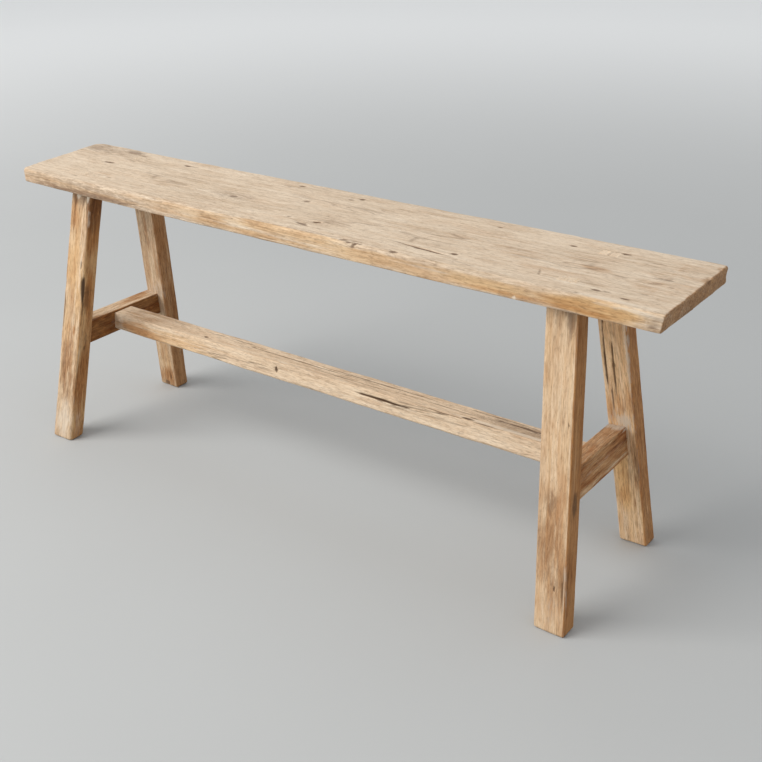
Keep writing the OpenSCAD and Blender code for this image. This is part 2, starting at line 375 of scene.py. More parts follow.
def startGroup(name, inputs, outputs):
    tree = bpy.data.node_groups.new(name, "ShaderNodeTree")
    for label, kind, value in inputs:
        socket = tree.interface.new_socket(name=label, in_out="INPUT",
                                           socket_type="NodeSocket" + kind)
        if value is not None:
            socket.default_value = value
    for label, kind in outputs:
        tree.interface.new_socket(name=label, in_out="OUTPUT", socket_type="NodeSocket" + kind)
    return tree, tree.nodes.new("NodeGroupInput").outputs, tree.nodes.new("NodeGroupOutput")


grainNoise = {"bend": (2.4, 16.0, 2.0, 0.55), "bands": (3.5, 34.0, 2.0, 0.55),
              "streaks": (15.0, 190.0, 2.0, 0.55), "fibres": (38.0, 460.0, 2.0, 0.7),
              "short": (90.0, 820.0, 2.0, 0.6), "long": (16.0, 560.0, 2.0, 0.6),
              "checked": (7.0, 30.0, 1.0, 0.55)}
grainShares = {"bands": 0.22, "streaks": 0.16, "fibres": 0.44}      # how strongly each one shows


def makeGrainGroup():       # growth rings, long streaks, fibres, pores and drying checks
    tree, given, result = startGroup("oldGrain", [
        ("Grain", "Vector", None), ("Heart", "Vector", None), ("Ring Lines", "Float", 210.0),
        ("Ring Run", "Float", 5.0), ("Rings", "Float", 0.22), ("Pores", "Float", 1.0),
        ("Contrast", "Float", 3.0)],
        [("Tone", "Float"), ("Pores", "Float"), ("Checks", "Float"), ("Height", "Float")])
    grain = given["Grain"]
    noise = addNoises(tree, grain, grainNoise)
    away = vectorMath(tree, "SUBTRACT", grain, given["Heart"])
    radius = vectorMath(tree, "LENGTH", vectorMath(tree, "MULTIPLY", away, (0.0, 1.0, 1.0)))
    bend = doMath(tree, "MULTIPLY", doMath(tree, "SUBTRACT", noise["bend"], 0.5), 0.03)
    wavy = doMath(tree, "ADD", radius, bend)
    ringPlace = joinVector(
        tree, doMath(tree, "MULTIPLY", splitVector(tree, grain)[0], given["Ring Run"]),
        doMath(tree, "MULTIPLY", wavy, given["Ring Lines"]))
    rings = addNoise(tree, ringPlace, (1.0, 1.0, 1.0), 4.0, 0.6)
    swing = doMath(tree, "MULTIPLY", doMath(tree, "SUBTRACT", rings, 0.5), given["Rings"])
    for key, share in grainShares.items():
        part = doMath(tree, "MULTIPLY", doMath(tree, "SUBTRACT", noise[key], 0.5), share)
        swing = doMath(tree, "ADD", swing, part)
    tone = doMath(tree, "ADD", doMath(tree, "MULTIPLY", swing, given["Contrast"]), 0.5, clamp=True)
    dashes = doMath(tree, "MAXIMUM", spreadValue(tree, noise["short"], 0.55, 0.68),
                    spreadValue(tree, noise["long"], 0.58, 0.7))
    pores = doMath(tree, "MULTIPLY", dashes, given["Pores"])
    lineNoise = addNoise(tree, ringPlace, (0.35, 0.22, 1.0), 3.0, 0.6)
    lineOff = doMath(tree, "ABSOLUTE", doMath(tree, "SUBTRACT", lineNoise, 0.52))
    checks = doMath(tree, "MULTIPLY", spreadValue(tree, lineOff, 0.0, 0.011, 1.0, 0.0),
                    spreadValue(tree, noise["checked"], 0.5, 0.66))
    rise = doMath(tree, "SUBTRACT", doMath(tree, "MULTIPLY", tone, 0.8),
                  doMath(tree, "ADD", doMath(tree, "MULTIPLY", pores, 0.35), checks))
    setInputs(result, {"Tone": tone, "Pores": pores, "Checks": checks, "Height": rise})
    return tree


weatherNoise = {"patchy": (14.0, 60.0, 3.0, 0.6), "ragged": (60.0, 330.0, 3.0, 0.65),
                "streaky": (5.0, 140.0, 3.0, 0.6), "smeared": (11.0, 105.0, 2.0, 0.6),
                "grime": (95.0, 330.0, 3.0, 0.7)}
# washes over the whole piece: noise, where it starts and is full, its amount, its colour
washes = [("patchy", 0.42, 0.7, "Blotches", "Brown"), ("smeared", 0.5, 0.68, "Smears", "Brown"),
          ("grime", 0.5, 0.68, "Grit", "Grey")]
# marks, the lowest first: mask, noise, where it starts and is full, most, swing, blend
layers = {"Gold": ("stain", 0, "streaky", 0.1, 0.7, 1.0, 2.4, "MULTIPLY"),
          "Brown": ("stain", 2, "drawn", -0.1, 0.7, 1.0, 3.4, "MULTIPLY"),
          "Grey": ("stain", 1, "ragged", 0.1, 0.8, 1.0, 3.0, "MULTIPLY"),
          "Worn": ("show", 1, "rubbed", 0.2, 0.9, 0.7, 3.0, "MIX"),
          "Dust": ("show", 2, "ragged", 0.2, 0.9, 0.8, 3.0, "MIX"),
          "Crack": ("show", 0, "ragged", 0.1, 0.6, 1.0, 1.8, "MIX")}


def makeWeatherShadeGroup():     # stains, painted shade on the sides away from the light, cracks, worn arrises and dust over the clean wood
    tree, given, result = startGroup("weathering", [
        ("Color", "Color", None), ("Grain", "Vector", None), ("Stain", "Vector", None),
        ("Show", "Vector", None), ("Gold", "Color", None), ("Grey", "Color", None),
        ("Brown", "Color", None), ("Crack", "Color", None), ("Worn", "Color", None),
        ("Dust", "Color", None), ("Blotches", "Float", 0.3), ("Smears", "Float", 0.3),
        ("Grit", "Float", 0.3)],
        [("Color", "Color"), ("Roughness", "Float")])
    masks = {"stain": splitVector(tree, given["Stain"]), "show": splitVector(tree, given["Show"])}
    noise = addNoises(tree, given["Grain"], weatherNoise)
    for key, other in (("drawn", "streaky"), ("rubbed", "ragged")):
        both = doMath(tree, "ADD", noise["patchy"], noise[other])
        noise[key] = doMath(tree, "MULTIPLY", both, 0.5)
    colour = given["Color"]
    for key, low, high, amount, shade in washes:
        wash = doMath(tree, "MULTIPLY", spreadValue(tree, noise[key], low, high), given[amount])
        colour = mixColours(tree, wash, colour, given[shade], "MULTIPLY")
    for shade, (field, part, key, low, high, most, swing, blend) in layers.items():
        mask = masks[field][part]       # it breaks up along the noise
        broken = doMath(tree, "MULTIPLY", doMath(tree, "SUBTRACT", noise[key], 0.5), swing)
        held = spreadValue(tree, doMath(tree, "ADD", mask, broken), low, high)
        shown = doMath(tree, "MULTIPLY", doMath(tree, "MULTIPLY", held, mask), most, clamp=True)
        colour = mixColours(tree, shown, colour, given[shade], blend)
    rough = spreadValue(tree, noise["patchy"], 0.3, 0.7, 0.72, 0.9)
    setInputs(result, {"Color": colour, "Roughness": rough})
    return tree


grainGroup = makeGrainGroup()
weatherShadeGroup = makeWeatherShadeGroup()


def arris(wide, rough=0.15, deep=None, flat=0.0, chips=()):     # how one long edge is worn
    return {"wide": wide, "deep": deep or wide, "rough": rough, "flat": flat, "chips": chips}


def rgba(red, green, blue):
    return (red, green, blue, 1.0)


def setLook(node, look):        # the socket "Ring Lines" takes ringLines of the look
    for socket in node.inputs:
        key = socket.name[0].lower() + socket.name[1:].replace(" ", "")
        if key in look:
            socket.default_value = look[key]


def makeWood(name, look):
    material = bpy.data.materials.new(name)
    material.use_nodes = True
    tree = material.node_tree
    fields = {}
    for label in ("Grain", "Stain", "Show"):
        node = addNode(tree, "ShaderNodeAttribute", attribute_type="GEOMETRY",
                       attribute_name=label.lower())
        fields[label] = node.outputs["Vector"]
    grain = addNode(tree, "ShaderNodeGroup", {"Grain": fields["Grain"]}, node_tree=grainGroup)
    setLook(grain, look)
    ramp = addNode(tree, "ShaderNodeValToRGB", {"Fac": grain.outputs["Tone"]})
    elements = ramp.color_ramp.elements
    for number, (spot, colour) in enumerate(look["tones"]):
        element = elements[number] if number < 2 else elements.new(spot)
        element.position = spot
        element.color = [channel * look["bright"] for channel in colour[:3]] + [1.0]
    clean = ramp.outputs["Color"]
    for label, dark in (("Pores", "poreDark"), ("Checks", "checkDark")):
        shown = doMath(tree, "MULTIPLY", grain.outputs[label], look[dark])
        clean = mixColours(tree, shown, clean, look["crack"])
    weatherShade = addNode(tree, "ShaderNodeGroup", {"Color": clean, **fields}, node_tree=weatherShadeGroup)
    setLook(weatherShade, look)
    bump = addNode(tree, "ShaderNodeBump", {
        "Strength": look["bump"], "Distance": look["bumpDeep"], "Height": grain.outputs["Height"]})
    setInputs(tree.nodes["Principled BSDF"], {
        "Specular IOR Level": look["specular"], "Base Color": weatherShade.outputs["Color"],
        "Roughness": weatherShade.outputs["Roughness"], "Normal": bump.outputs["Normal"]})
    return material


baseLook = {
    "heart": (0.0, 0.02, -0.14),        # centre of the growth rings, in the piece's own grain
    "ringLines": 210.0,     # growth-ring streaks for each metre
    "ringRun": 6.0,     # how quickly a streak changes along the grain
    "rings": 0.22,      # how strongly the rings show
    "contrast": 3.0,
    "pores": 1.0,
    "poreDark": 0.34,
    "checkDark": 0.45,
    "blotches": 0.34,
    "smears": 0.3,
    "grit": 0.4,
    "bump": 0.8,
    "bumpDeep": 0.0008,
    "specular": 0.25,
    "bright": 1.0,
    "tones": [(0.1, rgba(0.36, 0.225, 0.125)), (0.92, rgba(0.74, 0.58, 0.41)),
              (0.5, rgba(0.61, 0.45, 0.295))],
    "gold": rgba(0.96, 0.78, 0.52),     # gold, grey and brown multiply the wood, for stains and for painted shade
    "grey": rgba(0.5, 0.46, 0.44),
    "brown": rgba(0.6, 0.365, 0.165),
    "crack": rgba(0.085, 0.045, 0.022),
    "worn": rgba(0.74, 0.65, 0.53),
    "dust": rgba(0.6, 0.53, 0.44),
}


def woodLook(**changes):
    look = dict(baseLook)
    look.update(changes)
    return look


seatLow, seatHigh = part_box("seat")
seatSpec = {
    "skew": 0.028,      # how far the left end runs back from square
    "overrun": 0.0033,      # how far the sharp back-left corner would stand past its round
    "taper": 0.014,     # how much narrower the left end is
    "thickMid": 0.027,
    "thickEnds": (0.022, 0.0255),       # left and right
    "undercut": (0.0025, 0.004),        # how far each end is cut back underneath
    "rightSkew": 0.0035,        # how far the right end runs out at the front
    "seed": 11,
    "steps": (0.0027, 0.0015, 0.0032),
    "coarseUnder": True,
    "arrises": {
        (-1, 1): arris(0.0085, 0.12, deep=0.005,
                       chips=[(0.115, 0.02, -0.2), (0.3, 0.05, 0.2), (0.62, 0.09, -0.6)]),
        (1, 1): arris(0.0045, 0.15, deep=0.004),
        (-1, -1): arris(0.0022, 0.25),
        (1, -1): arris(0.003, 0.2, chips=[(0.61, 0.03, 1.2)]),
    },
    "endRounds": (0.004, 0.0022),
    "planCorners": {(-1, 1): 0.022, (-1, -1): 0.008, (1, 1): 0.006, (1, -1): 0.003},
    "arrisWear": 0.06,
    "wave": 0.0007,
    "ridge": 0.00014,
    "endRough": 0.0009,
    "endWave": 0.0016,
    "cutFrom": (0.0, 0.0, 0.0),
    "faceTones": {"front": {"gold": 0.3, "brown": 0.2},
                  "right": {"brown": 0.8, "grey": 0.45, "crack": 0.1}, "left": {"grey": 0.3},
                  "back": {"gold": 0.3, "brown": 0.2}, "bottom": {"brown": 0.35}},
    "knots": [("top", 0.117, -0.105, 0.012), ("top", -0.167, -0.023, 0.01),
              ("top", 0.023, -0.055, 0.008), ("top", -0.492, 0.014, 0.008)],
}
seatSpec["size"] = (seatHigh.x - seatLow.x + seatSpec["overrun"], seatHigh.y - seatLow.y,
                    seatHigh.z - seatLow.z)

# pits, cracks and soft patches
seatSpec["marks"] = {
    ("crack", "top", 0.45): [
        (-492, 14, 26, 10, 0.95, 1.4, 0.1), (-352, 77, 14, 8, 0.9, 1), (-338, 78, 26, 3.5, 0.6, 0.4),
        (-295, 26, 13, 6, 0.4), (-167, -23, 17, 12, 0.62, 0.6, 0.2), (-104, 88, 15, 8, 0.8, 1),
        (-50, 22, 13, 9, 0.65, 0.8), (7, 67, 15, 7, 0.5), (21, 81, 13, 8, 0.85, 1),
        (-27, -57, 10, 6, 0.6, 0.6), (12, -74, 26, 8, 0.75, 1.2, -0.25), (27, -55, 13, 9, 0.95, 1.6),
        (26, 33, 11, 6, 0.6, 0.5), (-488, -84, 15, 4, 0.6, 0.6, -0.1), (106, -100, 14, 7, 0.8, 1, 0.4),
        (119, -103, 11, 6, 0.8, 1, 0.3), (130, -104, 14, 7, 0.85, 1.2, 0.9),
        (138, -101, 7, 9, 0.7, 1, 0.3), (125, -95, 14, 3, 0.55, 0.6, 0.6),
        (134, -93, 12, 2.6, 0.5, 0.5, 1.2), (550, -14, 24, 9, 0.5, 0.3, 0.1), (556, 7, 22, 8, 0.45, 0.3),
        (554, -57, 20, 8, 0.45, 0.3, 0.1), (572, -16.5, 14, 4, 0.6, 0.4, 0.1),
        (527, 58, 34, 3, 0.65, 0.4, 0.1), (509, -75.5, 12, 5, 0.6, 0.5),
        (582, -78, 11, 2.5, 0.5, 0.4, 0.3), (464, -8, 30, 10, 0.35, 0.3, 0.1), (196, -101, 13, 8, 0.8, 1),
        (230, -68, 75, 5.5, 1, 1.6, -0.08), (192, -64, 50, 2.5, 0.7, 0.5, -0.1),
        (273, -60, 11, 8, 0.9, 1.2), (343, -66, 17, 12, 0.3), (271, 78, 11, 6, 0.7, 0.7),
        (397, 63, 11, 6, 0.8, 0.8), (472, 72, 16, 7, 0.9, 1.2, 0.1), (448, 70, 36, 3, 0.7, 0.6, 0.12),
        (315, -89, 17, 4, 0.4, 0.3, 0.2), (539, -85, 14, 6, 0.8, 0.6), (479, -99, 9, 5, 0.6, 0.5),
        (433, -59, 7, 5, 0.5, 0.5), (458, -70, 6, 5, 0.55, 0.6), (497, -76.5, 16, 7, 0.8, 0.6),
        (-423, -60, 9, 5, 0.6, 0.6, 0.4), (601, 40, 12, 12, 0.45, 2, 0.3), (601, 86, 8, 8, 0.4, 1.6, 0.3),
        (602, -20, 6, 14, 0.3, 1), (405, -58, 3.5, 24, 0.6, 0.4, 0.35), (545, -30, 20, 3, 0.4, 0, 0.3)],
    ("grey", "top"): [
        (-490, 87, 50, 24, 0.9), (-465, 80, 30, 10, 0.8), (-575, 80, 60, 50, 0.75),
        (-530, 75, 160, 60, 0.55), (-166, -23, 90, 35, 0.55), (-220, -30, 100, 30, 0.3),
        (120, -99, 50, 18, 0.6), (20, -66, 70, 26, 0.4), (462, -6, 26, 10, 0.4), (554, 7, 40, 14, 0.5),
        (500, -20, 120, 20, 0.35), (530, 40, 100, 18, 0.3), (0, -103, 1300, 14, 0.4),
        (580, 0, 50, 240, 0.3), (-560, 50, 80, 80, 0.35)],
    ("brown", "top"): [
        (462, -6, 50, 20, 0.55), (554, -15, 30, 10, 0.4), (580, 0, 60, 240, 0.22), (558, 0, 6, 150, 0.4),
        (545, -10, 50, 100, 0.35), (600, 37, 10, 22, 0.6), (600, 85, 8, 14, 0.5), (360, 0, 300, 50, 0.3),
        (420, -50, 200, 30, 0.3), (250, 40, 240, 30, 0.25), (-450, -48, 75, 4, 0.5)],
    # the long bands low on the front face (across -8 to -11 mm) darken its lower edge: painted shade of
    # the underside edge, along with grey-brown weathering
    ("grey", "front"): [
        (0, 8.5, 1300, 9, 0.4), (560, -3, 100, 20, 0.3), (-420, 0, 400, 30, 0.6), (-440, -8, 320, 11, 1),
        (-200, -10, 400, 6, 0.6), (200, -11, 600, 6, 0.4), (580, -3, 40, 20, 0.5), (592, 0, 20, 30, 0.6)],
    ("wear", "top"): [
        (457, -68, 60, 26, 0.6), (340, -92, 90, 12, 0.7), (585, 0, 36, 240, 0.3),
        (-560, -40, 90, 100, 0.5), (500, -81, 130, 4, 0.5), (-467, -62, 10, 8, 0.9),
        (-433, -62, 10, 8, 0.9), (-400, -94, 300, 14, 0.4), (530, -98, 140, 10, 0.75)],
    ("gold", "front"): [
        (500, 0, 160, 20, 1.3), (360, -2, 180, 20, 0.8), (50, 0, 700, 40, 0.62), (545, 0, 70, 14, 1.1)],
    # the low band at the left end (-440, -8) is the same painted shade of the underside edge, along with
    # brown weathering
    ("brown", "front"): [
        (500, 0, 200, 20, 0.4), (-440, -8, 320, 11, 0.4), (50, -2, 600, 30, 0.3), (300, -4, 200, 4, 0.3),
        (440, -6, 300, 8, 0.6), (-150, -4, 500, 16, 0.35)],
    ("wear", "front"): [(560, 8, 100, 6, 0.8), (395, -9, 6, 6, 1), (581, 0, 5, 20, 0.5)],
    ("crack", "front"): [
        (590, -6, 13, 3, 0.7), (30, 2, 120, 2, 0.5), (-100, -3, 200, 2, 0.4), (240, -6, 200, 2.4, 0.45),
        (0, -7, 160, 2, 0.4)],
    ("grey", "right"): [(-4, 0, 14, 240, 0.5)],
    ("crack", "right"): [(0, 0, 40, 260, 0.22)],
}


def placeSeat(at):      # from the straight box to the skewed, tapered plank with a sagging belly
    length, width, thick = seatSpec["size"]
    share = at[:, 0] / length + 0.5
    across = at[:, 1] / width
    left = seatLow.x - seatSpec["overrun"] + seatSpec["skew"] * (0.5 - across)
    x = left + (seatHigh.x - left) * share
    y = at[:, 1] * (1.0 - seatSpec["taper"] / width * (1.0 - share))
    belly = 1.0 - np.clip(np.abs(x) / seatHigh.x, 0.0, 1.0) ** 2
    ends = seatSpec["thickEnds"][0] * (1.0 - share) + seatSpec["thickEnds"][1] * share
    deep = ends + (seatSpec["thickMid"] - ends) * belly
    below = 0.5 - at[:, 2] / thick
    z = seatHigh.z - below * deep
    x += seatSpec["rightSkew"] * (0.5 - across) * share ** 4
    rightCut = seatSpec["undercut"][1] * (0.6 - 0.8 * across)       # deepest at the front corner
    x += below * (seatSpec["undercut"][0] * (1.0 - share) ** 9 - rightCut * share ** 9)
    return np.column_stack((x, y, z))


seatSpec["flushSpots"] = []
for spot in ("front_left", "front_right", "back_left", "back_right"):
    wedgeLow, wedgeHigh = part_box("tenon_wedge_" + spot)
    seatSpec["flushSpots"].append(tuple(((wedgeLow + wedgeHigh) / 2.0).xy))
seatTones = [(0.1, rgba(0.45, 0.34, 0.235)), (0.92, rgba(0.75, 0.635, 0.5)),
             (0.5, rgba(0.63, 0.505, 0.375))]
seatWood = makeWood("seatWood", woodLook(
    heart=(0.0, -0.01, -0.11), ringLines=240.0, checkDark=0.35, contrast=2.4, poreDark=0.22,
    blotches=0.12, smears=0.13, crack=rgba(0.13, 0.075, 0.044), tones=seatTones))
finishPiece("seat_plank", makeTimber("seat_plank", seatSpec, seatFaces, placeSeat), seatWood,
            "seat_wood", "seat")

legSize = {"wide": 0.044, "thick": 0.030, "runIn": 0.0015, "tenonWide": 0.030,
           "tenonThick": 0.018, "tenonStart": 0.006, "proud": 0.0003}
footSpots = {m["name"]: Vector(m["pos_m"]) for m in frame["record"]["mounts"]
             if m["name"].startswith("foot_")}


def legFrame(spot):     # foot centre and the leg's own across, deep and upward directions
    foot = footSpots["foot_" + spot]
    low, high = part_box("tenon_wedge_" + spot)
    up = ((low + high) / 2.0 - foot).normalized()
    across = Vector((up.z, 0.0, -up.x)).normalized()
    return foot, across, up.cross(across), up


def placeLeg(spot, fromZ, toZ):     # both ends are cut level, whatever the lean
    foot, across, deep, up = legFrame(spot)
    middle = (fromZ + toZ) / 2.0
    reach = (toZ - fromZ) / up.z

    def place(at):
        side = at[:, 1:2] * np.array(across) + at[:, 2:3] * np.array(deep)
        share = at[:, 0:1] / reach
        level = middle + share * (toZ - fromZ)
        run = (level - foot.z - side[:, 2:3]) / up.z
        return np.array(foot) + side + run * np.array(up)
    return place, reach


legWoodBase = {"heart": (0.0, 0.03, -0.05), "ringLines": 200.0}
legBody = {"steps": (0.0028, 0.0016, 0.0016), "endRounds": (0.004, 0.0008), "wave": 0.0006,
           "ridge": 0.0001, "floorLevel": 0.0}
legTenon = {"steps": (0.004, 0.002, 0.002), "endRounds": (0.0005, 0.0009), "wave": 0.0,
            "ridge": 0.00008, "faceTones": {"head": {"wear": 0.7, "grey": 0.3, "dust": 0.2}},
            "arrises": {(a, b): arris(0.0015) for a in (-1, 1) for b in (-1, 1)}}
legEdges = ((1, -1), (-1, -1), (1, 1), (-1, 1))     # front right and left, back right and left
leftTone = {"left": {"gold": 0.2}}      # the same on every leg and rail
legSpecs = {
    "front_left": {
        "seed": 101, "cutFrom": (1.7, 0.31, 0.2), "look": {"contrast": 3.3, "pores": 0.9},
        "arrises": [arris(0.004, 0.25, chips=[(0.06, 0.03, 0.8), (-0.02, 0.015, 0.7)]),
                    arris(0.0025, 0.2), arris(0.003), arris(0.002)],
        # the right side faces away from the light; its brown and gold are painted shade as well as stain
        "faceTones": {"front": {"grey": 0.15, "gold": 0.15},
                      "right": {"brown": 0.42, "gold": 0.85}, "back": {"brown": 0.2}},
        "marks": {
            ("gold", "front"): [(100, 0, 220, 50, 0.7), (-20, -6, 100, 20, 0.5)],
            ("wear", "front", 0.5): [(225, -4, 22, 12, 1)],
            ("wear", "front", 0.4): [(222, 18, 22, 6, 1.2), (185, 21, 30, 4, 0.7)],
            ("grey", "front"): [(222, 0, 40, 60, 0.9), (-150, 4, 140, 30, 0.45), (-100, -8, 160, 8, 0.6)],
            # the grey and brown high on the right side (along 180 to 210 mm), just under the seat, are
            # painted shadow of the seat as well as stain
            ("grey", "right"): [(210, 0, 100, 50, 0.9), (40, -4, 60, 14, 0.9)],
            ("brown", "right"): [(180, 0, 160, 50, 0.8), (-130, 0, 200, 40, 0.75), (50, 0, 120, 20, 0.8)],
            ("brown", "front"): [(190, -12, 80, 14, 0.6), (-80, 0, 200, 30, 0.5)],
            ("wear", "front"): [(-190, 0, 100, 40, 0.8), (100, 12, 100, 8, 0.7)],
            ("crack", "front", 0.3): [
                (20, -19, 80, 4, 0.6, 0.6), (100, 14, 16, 3.2, 0.75, 0.8), (-150, 3, 50, 3, 0.45, 0.4)],
            ("crack", "front", 0.4): [(60, -21, 20, 4, 0.6, 0.6)],
            ("brown", "front", 0.5): [(-20, 8, 24, 7, 0.8)],
            ("crack", "right", 0.3): [
                (56, -12, 56, 6, 1, 2.2), (30, -11, 50, 3, 0.8, 1), (-56, 0, 14, 4, 0.7, 0.6)],
            ("crack", "right", 0.4): [(50, 2, 6, 20, 0.4, 0.4), (-40, 2, 20, 6, 0.5, 0.6)],
            ("wear", "right"): [(-190, 0, 80, 20, 0.5)],
        }},
    "front_right": {
        "seed": 131, "cutFrom": (3.1, 0.11, 0.4), "wide": 0.047,
        "look": {"bright": 1.06, "contrast": 2.3, "pores": 0.5, "smears": 0.16, "blotches": 0.36},
        "arrises": [arris(0.0022, 0.2, chips=[(-0.165, 0.02, 0.9), (-0.14, 0.012, 0.8)]),
                    arris(0.0018), arris(0.002), arris(0.002)],
        # the right side faces away from the light; its brown and grey are painted shade as well as stain
        "faceTones": {"front": {"gold": 0.3}, "right": {"brown": 0.92, "grey": 0.2},
                      "back": {"brown": 0.2}},
        "marks": {
            ("grey", "front", 0.6): [(215, 14, 75, 16, 1.2)],
            ("grey", "front"): [(225, 0, 30, 30, 0.6), (-100, -20, 120, 6, 0.6)],
            ("grey", "front", 0.9): [(-45, -5, 40, 20, 0.8)],
            ("brown", "front", 0.8): [(-100, 0, 200, 50, 0.6), (-130, -12, 100, 14, 0.6)],
            ("grey", "front", 0.8): [(-120, 0, 160, 40, 0.55)],
            ("brown", "front"): [(-60, 5, 70, 10, 0.6)],
            ("crack", "front", 0.3): [
                (-165, 6, 11, 3.5, 0.9, 0.8), (70, 16, 7, 3, 0.7, 0.5), (-170, 18.5, 70, 3.2, 0.75, 1.4)],
            ("wear", "front", 0.3): [(-165, 20.5, 90, 5, 0.55)],
            ("wear", "right", 0.3): [(-180, -12.5, 60, 4, 0.5)],
            ("crack", "right", 0.3): [(-155, -10, 50, 3, 0.5, 0.8)],
            ("wear", "front"): [(-200, 0, 60, 40, 0.4)],
            ("crack", "right", 0.5): [(-45, 0, 40, 14, 0.7, 0.8)],
            ("brown", "right"): [(-30, 0, 100, 20, 0.8)],
        }},
    "back_left": {
        "seed": 151, "cutFrom": (5.3, 0.21, 0.1),
        "arrises": [arris(0.0025, 0.2), arris(0.002), arris(0.003), arris(0.003)],
        # the right side faces away from the light; its brown and grey are painted shade as well as stain
        "faceTones": {"front": {"gold": 0.2, "brown": 0.15}, "right": {"brown": 0.82, "grey": 0.15},
                      "back": {"gold": 0.2, "grey": 0.2}},
        "marks": {
            ("dust", "front", 0.6): [(-10, 4, 50, 40, 0.6)],
            ("crack", "front", 0.3): [(120, -16, 100, 3, 0.5, 0.4)],
            ("gold", "front"): [(-170, 0, 120, 40, 0.5)],
            ("crack", "front", 0.5): [(-226, -4, 10, 16, 0.7, 1)],
            ("crack", "front", 0.4): [(-210, 8, 20, 4, 0.6, 0.8)],
            ("brown", "front"): [(-210, 0, 50, 50, 0.7)],
            ("grey", "front"): [(150, 0, 120, 30, 0.6)],
        }},
    "back_right": {
        "seed": 171, "cutFrom": (7.9, 0.17, 0.3), "look": {"bright": 1.26, "pores": 0.8},
        "arrises": [arris(0.003, 0.3), arris(0.002), arris(0.0025), arris(0.003)],
        # the right side faces away from the light; its brown and grey are painted shade as well as stain
        "faceTones": {"front": {"gold": 0.5}, "right": {"brown": 0.9, "grey": 0.5},
                      "back": {"grey": 0.25}},
        "marks": {
            ("crack", "front", 0.25): [
                (170, -15, 36, 5, 1, 1.6), (90, -16, 100, 3.4, 1, 1.6), (75, -4, 100, 2.8, 0.9, 1.2)],
            ("crack", "front", 0.3): [(85, -4, 12, 6, 0.9, 1), (30, -10, 40, 4, 0.7, 1)],
            ("dust", "front"): [(-8, 6, 40, 40, 0.85)],
            ("dust", "front", 0.6): [(120, 19, 160, 7, 0.7)],
            ("brown", "front"): [(15, 0, 50, 50, 0.5)],
            ("grey", "front", 0.6): [(-80, 18, 200, 10, 0.6)],
            ("gold", "front"): [(-80, -5, 200, 30, 0.9)],
        }},
}


def makeLeg(spot, spec, material):
    place, reach = placeLeg(spot, 0.0, seatLow.z + legSize["runIn"])
    body = dict(spec, **legBody, size=(reach, spec.get("wide", legSize["wide"]), legSize["thick"]))
    body["arrises"] = dict(zip(legEdges, spec["arrises"]))
    body["faceTones"] = {**spec["faceTones"], **leftTone}
    head, headReach = placeLeg(spot, seatLow.z - legSize["tenonStart"],
                               seatHigh.z + legSize["proud"])
    tenon = dict(legTenon, size=(headReach, legSize["tenonWide"], legSize["tenonThick"]),
                 seed=spec["seed"] + 3, cutFrom=spec["cutFrom"])
    parts = [makeTimber("blank", body, legFaces, place), makeTimber("tenon", tenon, legFaces, head)]
    finishPiece("leg_timber_" + spot, joinMeshes("leg_timber_" + spot, parts), material,
                "leg_wood", "leg_" + spot)


for spot, spec in legSpecs.items():
    legWood = makeWood("legWood_" + spot, woodLook(**legWoodBase, **spec.get("look", {})))
    makeLeg(spot, spec, legWood)

railSpecs = {
    "left": {
        "seed": 201, "cutFrom": (-1.3, 0.4, 0.1),
        # the right face looks away from the light; its brown and grey are painted shade as well as stain
        "faceTones": {"top": {"grey": 0.25, "brown": 0.15}, "right": {"brown": 1.0, "grey": 0.7}},
        "marks": {
            ("dust", "right"): [(0, 0, 70, 30, 0.4)],
            ("dust", "top", 0.6): [(-90, 0, 30, 30, 0.6)],
        }},
    "right": {
        "seed": 221, "cutFrom": (-3.1, 0.2, 0.3),
        # the right face looks away from the light; its brown and gold are painted shade as well as stain
        "faceTones": {"top": {"brown": 0.68}, "right": {"brown": 0.62, "gold": 0.6}},
        "marks": {
            ("wear", "right"): [(0, 4, 160, 8, 0.35)],
            ("dust", "top", 0.6): [(-90, 0, 30, 40, 0.9)],
        }},
}
railShape = {"thick": 0.028, "run": 0.0015}
railBody = {"steps": (0.0026, 0.0016, 0.0018), "endRounds": (0.0003, 0.0003), "wave": 0.0004,
            "ridge": 0.00012,
            "arrises": {(a, b): arris(0.002, 0.2) for a in (-1, 1) for b in (-1, 1)}}
# an end rail is laid out with x to the front, so its right face is +y and its top +z
railFaces = {"top": (2, 1, 1), "bottom": (2, -1, 1), "right": (1, 1, 2), "left": (1, -1, 2)}


def railFrame(side):
    low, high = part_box("end_rail_" + side)
    across = legFrame("front_" + side)[1]
    rise = Vector((-across.z, 0.0, across.x))
    thick = railShape["thick"]
    tall = ((high.z - low.z) - thick * abs(across.z)) / abs(rise.z)
    return (low + high) / 2.0, across, rise, tall


def placeRail(side):
    centre, across, rise, tall = railFrame(side)
    foot, _, deep, up = legFrame("front_" + side)
    halfLeg = legSize["thick"] / 2.0 / abs(deep.y)
    length = 2.0 * (abs(foot.y + up.y * (centre.z - foot.z) / up.z) - halfLeg + railShape["run"])

    def place(at):
        flat = np.array(centre) + at[:, 1:2] * np.array(across) + at[:, 2:3] * np.array(rise)
        reach = np.abs(foot.y + up.y * (flat[:, 2] - foot.z) / up.z) - halfLeg + railShape["run"]
        flat[:, 1] = -at[:, 0] / (length / 2.0) * reach
        return flat
    return place, length, tall


for side, spec in railSpecs.items():
    place, length, tall = placeRail(side)
    body = dict(spec, **railBody, size=(length, railShape["thick"], tall))
    body["faceTones"] = {**spec["faceTones"], **leftTone, "bottom": {"brown": 0.4}}
    railWood = makeWood("railWood_" + side, woodLook(
        heart=(0.0, 0.04, -0.06), ringLines=160.0, rings=0.16, checkDark=0.3,
        blotches=0.7, smears=0.5, bright=1.06))
    finishPiece("rail_timber_" + side, makeTimber("rail", body, railFaces, place), railWood,
                "rail_wood", "end_rail_" + side)

